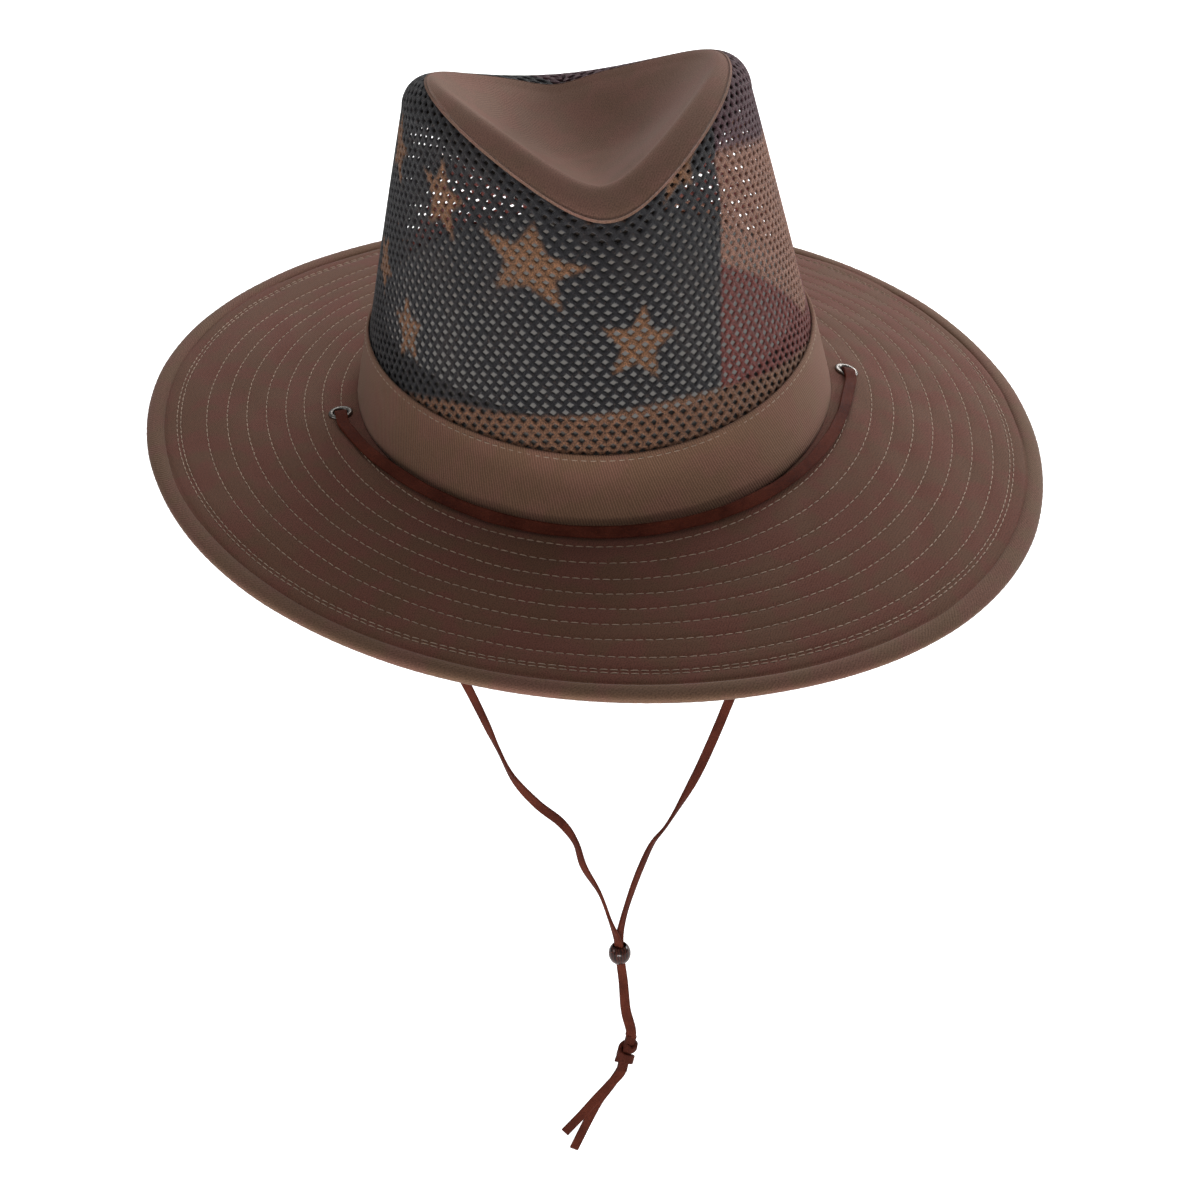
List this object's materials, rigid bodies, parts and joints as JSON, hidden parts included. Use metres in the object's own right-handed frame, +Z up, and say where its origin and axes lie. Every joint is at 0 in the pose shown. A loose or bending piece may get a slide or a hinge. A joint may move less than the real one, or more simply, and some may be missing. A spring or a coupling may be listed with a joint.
{
  "type": "outback hat",
  "caption": "Wide-brimmed outback hat with a stitched brim, netting crown with a creased tip, twill band, and leather chin lace with bead and knot",
  "frame": {"origin": "middle of the head opening, level with the mean height of the brim's inner edge", "axes": "+Z up through the crown, -Y the front of the hat, +X the side at the right when seen from the front; the lace hangs towards -Z"},
  "size_m": [0.3373, 0.366, 0.4764],
  "materials": {
    "twill": "brown cotton twill, matt, fine diagonal weave",
    "netting": "coarse knitted polyester net, printed with faded stars and stripes",
    "sweatband_cloth": "grey-brown woven cotton sweatband",
    "eyelet_metal": "dull nickel-plated eyelets",
    "lace_leather": "dark red-brown flat leather lace, satin",
    "bead_wood": "dark stained wood bead, glossy varnish"
  },
  "bodies": {
    "root": {"brim": "twill", "brim_edge": "twill", "crown_net": "netting", "crown_tip": "twill", "hatband": "twill", "sweatband": "sweatband_cloth", "eyelet_left": "eyelet_metal", "eyelet_right": "eyelet_metal", "lace_front": "lace_leather", "lace_left": "lace_leather", "lace_right": "lace_leather", "bead": "bead_wood", "knot": "lace_leather", "tail_left": "lace_leather", "tail_right": "lace_leather"}
  },
  "joints": []
}
